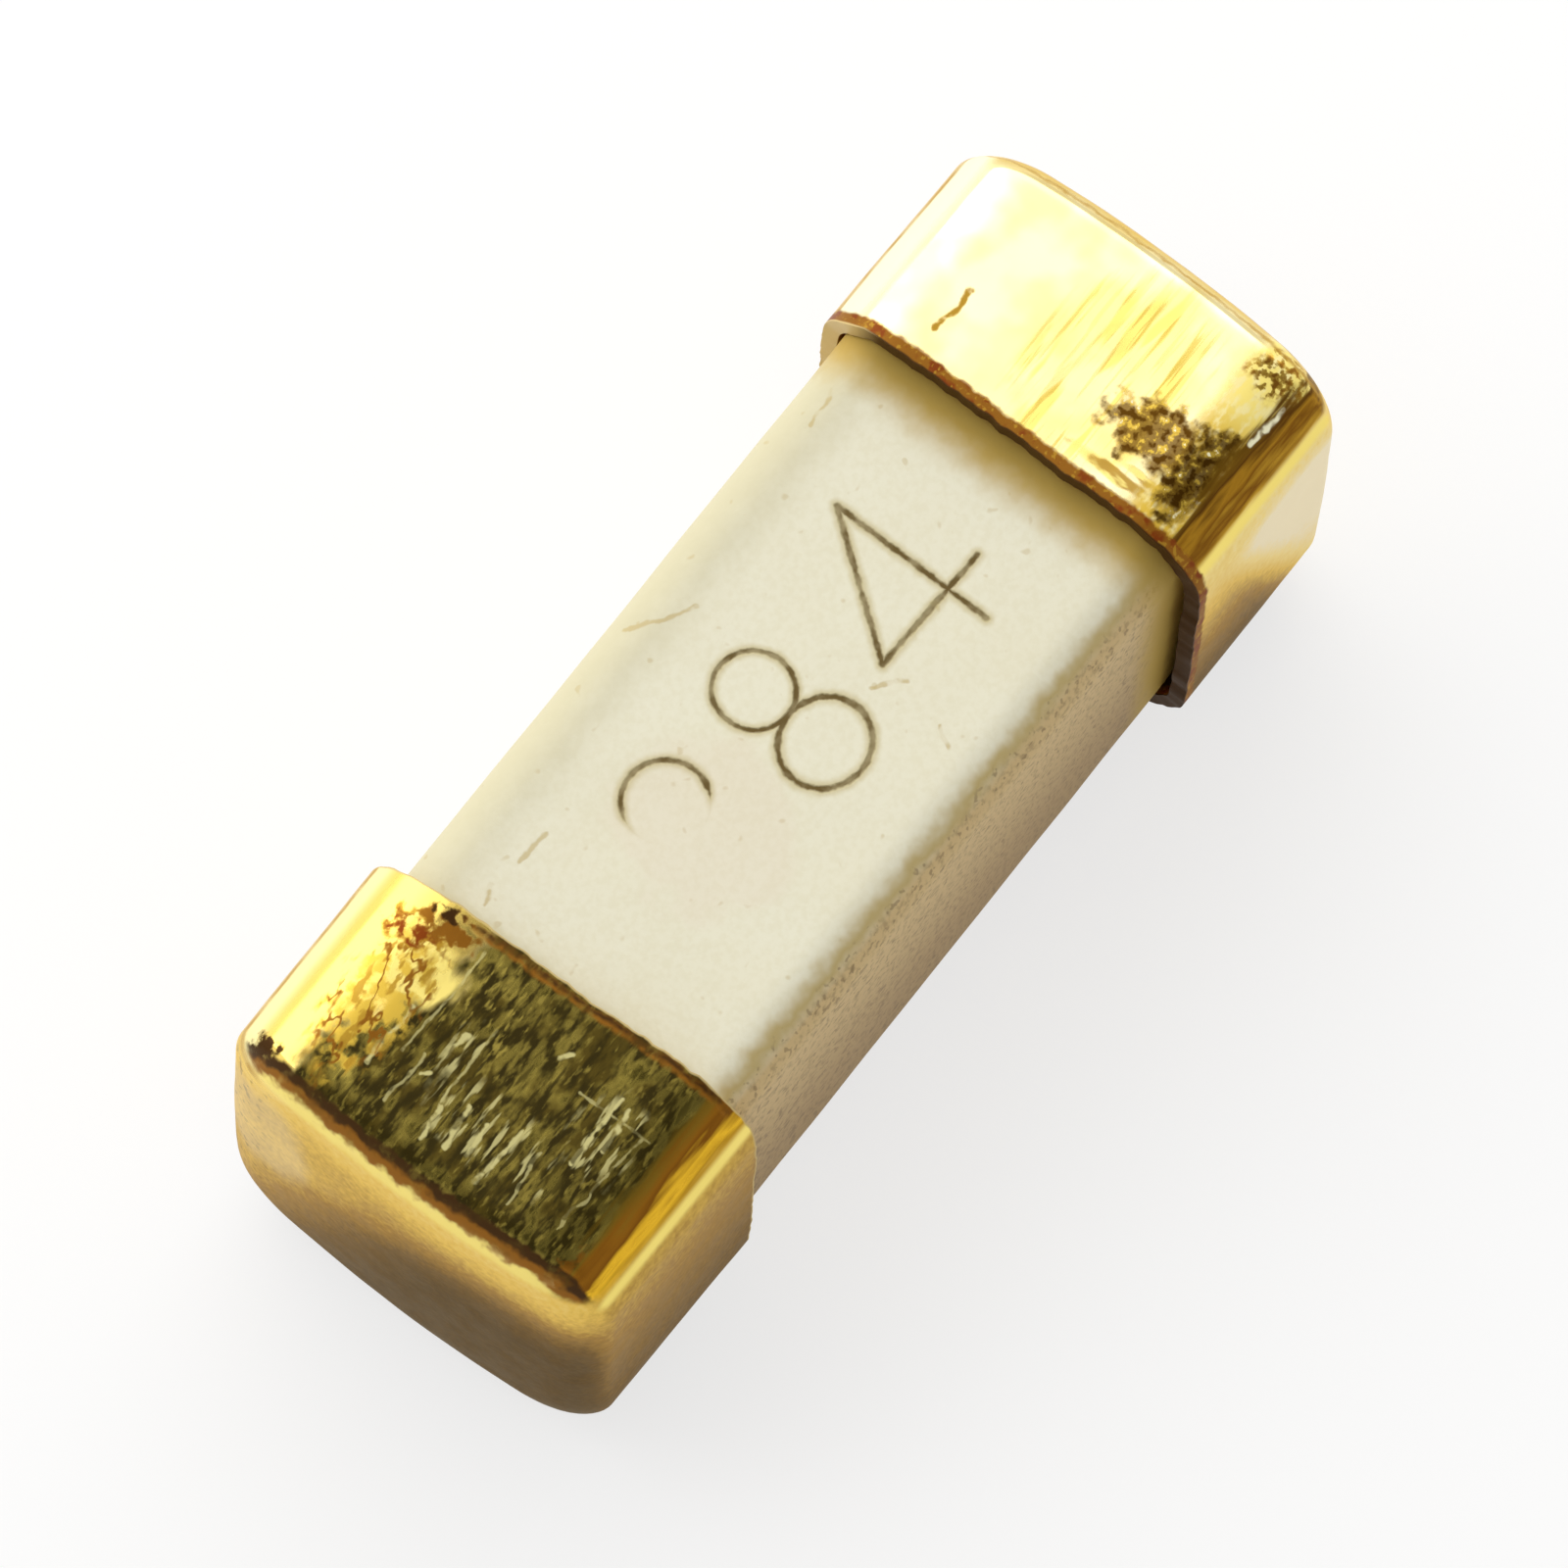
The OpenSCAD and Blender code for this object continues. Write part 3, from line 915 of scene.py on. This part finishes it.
# %% Sizes of a cap
CAP_WALL = 0.18 * MM
CAP_EDGE_RADIUS = 0.9 * MM
CAP_EDGE_SEGMENTS = 16
CAP_END_DEPTH = 0.34 * MM
CAP_END_HEIGHT = 0.55 * MM
CAP_END_SEGMENTS = 12
CAP_STEP = 0.06 * MM
CAP_BOW = 0.15 * MM
CAP_SWELL = 0.05 * MM
CAP_TUCK = 0.06 * MM
CAP_ROLL_FROM = 0.45
CAP_DRAFT = 0.02 * MM
CAP_INSET = 0.012 * MM
CAP_CREASE = math.radians(50)
CAP_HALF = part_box("left_cap")[1].y
CAP_MIDDLE_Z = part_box("left_cap")[1].z / 2
print("a cap is", round(2 * CAP_HALF / MM, 2), "mm wide")

# %% Wear of a cap
DENTS = [(0.008, 1.2, 0), (0.003, 0.4, 5)]
TEARS = [(0.022, 0.13, 9), (0.03, 0.5, 11)]
LIP_REACH = 0.25 * MM
LIP_PULL = 0.02
SKEW_MIDDLE = 0.25
FOLD_MIDDLE = 0.47
FOLD_SLANT = 0.25
FOLD_WAVES = [(0.06, 0.5, 3)]


# %% Press the block
def press_block(node_name, side):
    """A rounded block, open at its mouth, with its closed end towards side along X."""
    low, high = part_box(node_name)
    spare = CAP_END_HEIGHT - CAP_END_DEPTH
    if side > 0:
        high.x += spare
    else:
        low.x -= spare
    mouth_x, end_x = (low.x, high.x) if side > 0 else (high.x, low.x)
    cup = block(low, high)
    mouth = [f for f in cup.faces if abs(f.calc_center_median().x - mouth_x) < ON_PLANE]
    bmesh.ops.delete(cup, geom=mouth, context="FACES_ONLY")
    round_edges(cup, edges_along_x(cup), CAP_EDGE_RADIUS, CAP_EDGE_SEGMENTS)
    end_rim = [e for e in cup.edges if all(abs(v.co.x - end_x) < ON_PLANE for v in e.verts)]
    round_edges(cup, end_rim, CAP_END_HEIGHT, CAP_END_SEGMENTS)
    slice_across(cup, CAP_MIDDLE_Z, CAP_HALF - CAP_EDGE_RADIUS, CAP_STEP)
    shoulder_x = end_x - side * CAP_END_HEIGHT
    slice_mesh(cup, 0, min(mouth_x, shoulder_x), max(mouth_x, shoulder_x), CAP_STEP)
    for v in cup.verts:
        over = side * (v.co.x - shoulder_x)
        if over > 0:
            v.co.x = shoulder_x + side * over * CAP_END_DEPTH / CAP_END_HEIGHT
    bmesh.ops.recalc_face_normals(cup, faces=cup.faces)
    return cup, mouth_x


# %% Age the cup
def end_retreat(place):
    """How far the closed end falls back at this place across it."""
    y, z = place.y / CAP_HALF, (place.z - CAP_MIDDLE_Z) / CAP_HALF
    below = max(-z, 0.0)
    return CAP_BOW * y * y + CAP_SWELL * z * z + CAP_TUCK * below * below


def age_cup(cup, mouth_x, side, seed, front_tilt, skew):
    """Swell the closed end, narrow it a little, dent the metal and tear the mouth."""
    length = max(abs(v.co.x - mouth_x) for v in cup.verts)
    depth_layer = cup.verts.layers.float.new("depth")
    cup.normal_update()
    moves = []
    for v in cup.verts:
        run = abs(v.co.x - mouth_x)
        v[depth_layer] = run / MM
        y, z = v.co.y / CAP_HALF, (v.co.z - CAP_MIDDLE_Z) / CAP_HALF
        move = v.normal * (waves(v.co, seed, DENTS) * MM - CAP_INSET)
        move.x -= side * smooth_step(run / length, CAP_ROLL_FROM, 1.0) * end_retreat(v.co)
        move.x += (1 - run / length) * skew * (SKEW_MIDDLE - y)
        move.y -= CAP_DRAFT * y * run / length
        move.z -= CAP_DRAFT * z * run / length
        fold = FOLD_MIDDLE + FOLD_SLANT * (0.5 - run / length) + waves(v.co, seed, FOLD_WAVES)
        if z > 0:
            move.z -= front_tilt * max(0.0, fold - y) * CAP_HALF * z
        lip = 1.0 - smooth_step(run, 0.0, LIP_REACH)
        move.x += side * lip * (LIP_PULL + waves(v.co, seed, TEARS)) * MM
        moves.append(move)
    for v, move in zip(cup.verts, moves):
        v.co += move


# %% Make both caps
def draw_cap(node_name, piece_name, side, material, seed, front_tilt=0.0, skew=0.0):
    """One cap. Only the near one leans at its front and has a mouth that is cut askew."""
    cup, mouth_x = press_block(node_name, side)
    age_cup(cup, mouth_x, side, seed, front_tilt, skew)
    bmesh.ops.solidify(cup, geom=cup.faces[:], thickness=CAP_WALL)
    for edge in cup.edges:
        edge.smooth = edge.calc_face_angle(0.0) < CAP_CREASE
    make_piece(cup, piece_name, node_name, material)


draw_cap("left_cap", "near_cap", -1, near_gold, 2.0, front_tilt=0.010, skew=0.06 * MM)
draw_cap("right_cap", "far_cap", 1, far_gold, 7.0)

# %% [markdown]
# ## Ceramic finish
# The tube is unglazed cream ceramic, pressed and fired. Its upper face has a few scratches and its
# front edge a yellow-brown stain with dark grains in it. Its sides are brown and granular, the
# brown mostly painted shade with a little stain, and its back edge is painted a little darker.
# Beside the far cap the ceramic has a golden brown painted shadow, and beside the near cap a
# painted pale glow. A laser burned the number into the face as thin brown lines. Its digits are
# plain ones, and the first has half faded. A font could have set them, but strokes of even width
# with round ends look burned rather than printed.

# %% Ceramic colours
CREAM = (0.77, 0.725, 0.545, 1)
PALE_CREAM = (0.80, 0.775, 0.62, 1)
YELLOW_CREAM = (0.66, 0.60, 0.38, 1)
SHADED_BACK_CREAM = (0.59, 0.54, 0.35, 1)
STAIN = (0.50, 0.37, 0.13, 1)
GOLDEN_RIM_SHADOW = (0.52, 0.35, 0.075, 1)
SIDE_SHADE_BROWN = (0.62, 0.455, 0.22, 1)
LOW_SIDE_SHADE_BROWN = (0.40, 0.27, 0.125, 1)
CERAMIC_SPECK = (0.20, 0.13, 0.06, 1)
STROKE_BROWN = (0.13, 0.083, 0.020, 1)
STROKE_GLOW = (0.52, 0.42, 0.17, 1)
SMUDGE = (0.72, 0.55, 0.42, 1)
CERAMIC_SCRATCHES = [
    ((-0.25, 1.80), (0.02, 1.56)), ((0.02, 1.56), (0.33, 1.38)), ((2.48, 1.66), (2.90, 1.71)),
    ((-2.75, 1.14), (-2.38, 1.10)), ((0.72, -0.42), (0.98, -0.66)), ((0.70, -1.38), (0.82, -1.18)),
    ((-3.30, 1.15), (-3.10, 1.18)),
]

# %% Number strokes
UPPER_BOWL = ((-1.42, 0.40, 0), (0.43, 0.43, 1), (0.5, 0.866, 0), -0.75)
UPPER_RING = ((0.0, 0.43, 0), (0.40, 0.41, 1), (1, 0, 0), -1.0)
LOWER_RING = ((0.0, -0.43, 0), (0.48, 0.44, 1), (1, 0, 0), -1.0)
FOUR_ENDS = [((1.98, 0.95), (0.97, -0.38)), ((0.97, -0.38), (2.42, -0.42)),
             ((1.98, 0.95), (1.96, -0.88))]
FADE_ALONG = (0.6, 0.8, 0)
FADE_SPAN = (-0.85, -0.45)
FADE_AWAY = 0.09


def number_distance(finish):
    """Distance in millimetres to the nearest stroke, where the first digit fades away."""
    first = finish.use(curved_stroke, finish.place, *UPPER_BOWL)
    along = vector_step(finish.tree, "DOT_PRODUCT", finish.place, FADE_ALONG, output=1)
    first = finish.add(first, finish.ease(along, *FADE_SPAN, FADE_AWAY, 0.0))
    rings = [finish.use(curved_stroke, finish.place, *ring)
             for ring in (UPPER_RING, LOWER_RING)]
    lines = [finish.use(straight_stroke, finish.place, (*start, 0), (*end, 0))
             for start, end in FOUR_ENDS]
    nearest = combine(finish.tree, "MINIMUM", first, *rings, *lines)
    return finish.add(nearest, finish.wander(11.0, 0.022))


# %% Cream ceramic
FACE_FROM = 4.05
SIDE_BELOW = 3.91
STAIN_BAND = (-1.94, -1.76)
GRAIN_HEIGHT = 0.003
BURN_DEPTH = -0.008

body = Finish("cream_ceramic", CREAM, PALE_CREAM, 0.9)
face = body.ease(body.z, FACE_FROM, 4.2)
shift = body.wander(4.0, 0.12)
ragged_y = body.add(body.y, shift)
grain = body.noise(14.0, 3.0)
body.lay(body.ease(grain, 0.35, 0.7, 0.0, 0.22), YELLOW_CREAM)
# Painted shade: the back edge is darkened, which holds back the window's light there.
body.lay(body.ease(ragged_y, 1.1, 1.9, 0.0, 0.90), SHADED_BACK_CREAM)
rare = body.use(dark_specks, body.place, 6.0, 0.40)
body.lay((rare, 0.35), STAIN)
body.report("clean ceramic")

# %% Ceramic sides and stains
# Painted shade: the brown sides are mostly shade painted into the colour, with a little stain,
# darker towards the floor and lighter towards the window.
shaded_side_colour = body.mix(body.ease(body.z, 0.8, 4.0), LOW_SIDE_SHADE_BROWN, SIDE_SHADE_BROWN)
granular = body.ease(grain, 0.45, 0.70, 0.0, 0.4)
shaded_side_colour = body.mix(granular, shaded_side_colour, CERAMIC_SPECK)
leaning_z = body.add(body.z, body.times(body.y, 0.08), body.times(shift, 0.2))
stain = body.use(soft_band, ragged_y, *STAIN_BAND, 0.20)
body.lay((stain, 0.9), STAIN)
side = body.ease(leaning_z, SIDE_BELOW, FACE_FROM, 1.0, 0.0)
behind = body.ease(body.y, 0.6, 1.9, 1.0, 0.45)
body.lay((side, behind), shaded_side_colour)
grains = body.use(dark_specks, body.place, 13.0, 0.72)
body.lay((grains, body.ease(ragged_y, -1.90, -1.83, 0.5, 0.0)), CERAMIC_SPECK)
# A painted shadow beside the far cap's rim, golden with the light the gold throws on the ceramic.
rim_shadow = body.ease(body.add(body.x, shift), 2.85, 3.40)
body.lay(rim_shadow, GOLDEN_RIM_SHADOW)
# A painted pale yellow glow on the ceramic beside the near cap's rim.
near_rim_glow = body.ease(body.add(body.x, body.times(shift, 0.5)), -3.48, -3.36, 0.6, 0.0)
body.lay(near_rim_glow, YELLOW_CREAM)
body.report("sides and stains")

# %% Number and scratches on the ceramic
body.lay((scratches(body, CERAMIC_SCRATCHES, 0.035, 0.03), face, 0.6), STAIN)
smudge = body.ease(body.blot((-1.40, -0.05), (0.90, 1.0), 0.8, (2, 2, 2)), 0.0, 1.0)
body.lay((smudge, face, 0.16), SMUDGE)
nearest = number_distance(body)
body.lay((body.ease(nearest, 0.015, 0.11, 0.7, 0.0), face), STROKE_GLOW)
ink = body.times(body.ease(nearest, 0.012, 0.042, 1.0, 0.0), face)
body.lay((ink, body.ease(body.noise(5.0), 0.3, 0.6, 0.6, 1.0)), STROKE_BROWN)
body.set("Roughness", 0.6)
body.set("Specular IOR Level", 0.2)
body.raise_by(grain, GRAIN_HEIGHT)
body.raise_by(ink, BURN_DEPTH)
ceramic = body.done()

# %% [markdown]
# ## Ceramic tube
# The tube was pressed as a square bar with a round bore and fired. Its outside is a block with
# four rounded edges and no ends. The bore could be cut with a boolean, but bridging leaves
# cleaner faces: a circle at each end is bridged to the outline, and the two circles to each
# other. The ends are ground a little thinner, so that the caps slide on, and the tube sits a
# hair askew between them.

# %% Press the tube
TUBE_EDGE_RADIUS = 0.5 * MM
TUBE_EDGE_SEGMENTS = 12
TUBE_STEP = 0.11 * MM
TUBE_INSET = 0.008
TUBE_WAVES = [(0.006, 0.9, 0)]
TUBE_SEED = 21.0
TUBE_ENDS_FROM = 3.6 * MM
TUBE_ENDS_THINNER = 0.03 * MM
TUBE_SKEW = 0.05 * MM
BORE_RADIUS = 1.3 * MM
BORE_SIDES = 64
NEAR_TUBE_END = 0.03 * MM

low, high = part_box("ceramic_body")
middle_z = (low.z + high.z) / 2
tube = block(low, high)
ends = [f for f in tube.faces if abs(abs(f.calc_center_median().x) - high.x) < ON_PLANE]
bmesh.ops.delete(tube, geom=ends, context="FACES_ONLY")
round_edges(tube, edges_along_x(tube), TUBE_EDGE_RADIUS, TUBE_EDGE_SEGMENTS)
slice_across(tube, middle_z, high.y - TUBE_EDGE_RADIUS, TUBE_STEP)
slice_mesh(tube, 0, low.x, high.x, TUBE_STEP)
bmesh.ops.recalc_face_normals(tube, faces=tube.faces)
tube.normal_update()
for v in tube.verts:
    thinner = smooth_step(abs(v.co.x), TUBE_ENDS_FROM, 1.15 * TUBE_ENDS_FROM)
    inward = TUBE_INSET + waves(v.co, TUBE_SEED, TUBE_WAVES)
    v.co -= v.normal * (inward * MM + thinner * TUBE_ENDS_THINNER)
    v.co.y += TUBE_SKEW * v.co.x / high.x
print("the tube's outside has", len(tube.verts), "points")

# %% Bore it
for end_x in (low.x, high.x):
    outline = [e for e in tube.edges
               if e.is_boundary and all(abs(v.co.x - end_x) < NEAR_TUBE_END for v in e.verts)]
    upright = Matrix.Rotation(math.radians(90), 4, "Y")
    ring_place = Matrix.Translation((end_x, 0, middle_z)) @ upright
    ring = bmesh.ops.create_circle(tube, segments=BORE_SIDES, radius=BORE_RADIUS,
                                   matrix=ring_place)
    ring_edges = list({e for v in ring["verts"] for e in v.link_edges})
    bmesh.ops.bridge_loops(tube, edges=outline + ring_edges)
bmesh.ops.bridge_loops(tube, edges=[e for e in tube.edges if e.is_boundary])
bmesh.ops.recalc_face_normals(tube, faces=tube.faces)
make_piece(tube, "ceramic_tube", "ceramic_body", ceramic)

# %% [markdown]
# ## Wire and solder
# Nobody sees these unless the fuse is cut open, but they are there. The wire is drawn copper
# with fine lines along it. The solder is dull tin that set against the closed end of its cap,
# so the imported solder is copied, shrunk by a hair and given the same swell as the cap.

# %% Wire finish
COPPER = (0.72, 0.36, 0.20, 1)
DULL_COPPER = (0.42, 0.19, 0.10, 1)

wire = Finish("drawn_wire", COPPER, DULL_COPPER, 2.0)
wire_lines = wire.use(draw_lines, wire.place, 20.0, 12.0, 0.8)
wire.lay((wire_lines, 0.6), DULL_COPPER)
wire.set("Metallic", 1.0)
wire.set("Roughness", wire.ease(wire.noise(6.0), 0.3, 0.7, 0.22, 0.4))
wire.raise_by(wire_lines, 0.002)
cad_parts["fuse_wire"].material_slots[0].material = wire.done()

# %% Solder finish
TIN = (0.60, 0.60, 0.59, 1)
DULL_TIN = (0.38, 0.38, 0.37, 1)
PORE_GREY = (0.16, 0.15, 0.13, 1)

tin = Finish("tin_solder", TIN, DULL_TIN, 1.6)
crystals = tin.ease(tin.noise(7.0, 5.0), 0.4, 0.6)
tin.lay((crystals, 0.4), DULL_TIN)
tin.lay(tin.use(dark_specks, tin.place, 5.0, 0.5), PORE_GREY)
tin.set("Metallic", 1.0)
tin.set("Roughness", tin.ease(crystals, 0.0, 1.0, 0.35, 0.55))
tin.raise_by(crystals, 0.006)
tin_solder = tin.done()

# %% Solder pieces
SOLDER_STEP = 0.3 * MM
SOLDER_SHRINK = 0.965
SOLDER_GAP = 0.03 * MM
SOLDER_MERGE = 1e-7


def set_solder(node_name, piece_name, side):
    """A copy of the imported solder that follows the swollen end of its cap."""
    solder = bmesh.new()
    solder.from_mesh(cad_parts[node_name].data)
    bmesh.ops.remove_doubles(solder, verts=solder.verts, dist=SOLDER_MERGE)
    low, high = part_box(node_name)
    inner_x, outer_x = sorted((abs(low.x), abs(high.x)))
    slice_across(solder, CAP_MIDDLE_Z, high.y, SOLDER_STEP)
    for v in solder.verts:
        share = smooth_step(abs(v.co.x), inner_x, outer_x)
        v.co.x -= side * share * (end_retreat(v.co) + SOLDER_GAP)
        v.co.y *= SOLDER_SHRINK
        v.co.z = CAP_MIDDLE_Z + (v.co.z - CAP_MIDDLE_Z) * SOLDER_SHRINK
    make_piece(solder, piece_name, node_name, tin_solder, smooth=False)


set_solder("left_solder", "near_solder", -1)
set_solder("right_solder", "far_solder", 1)
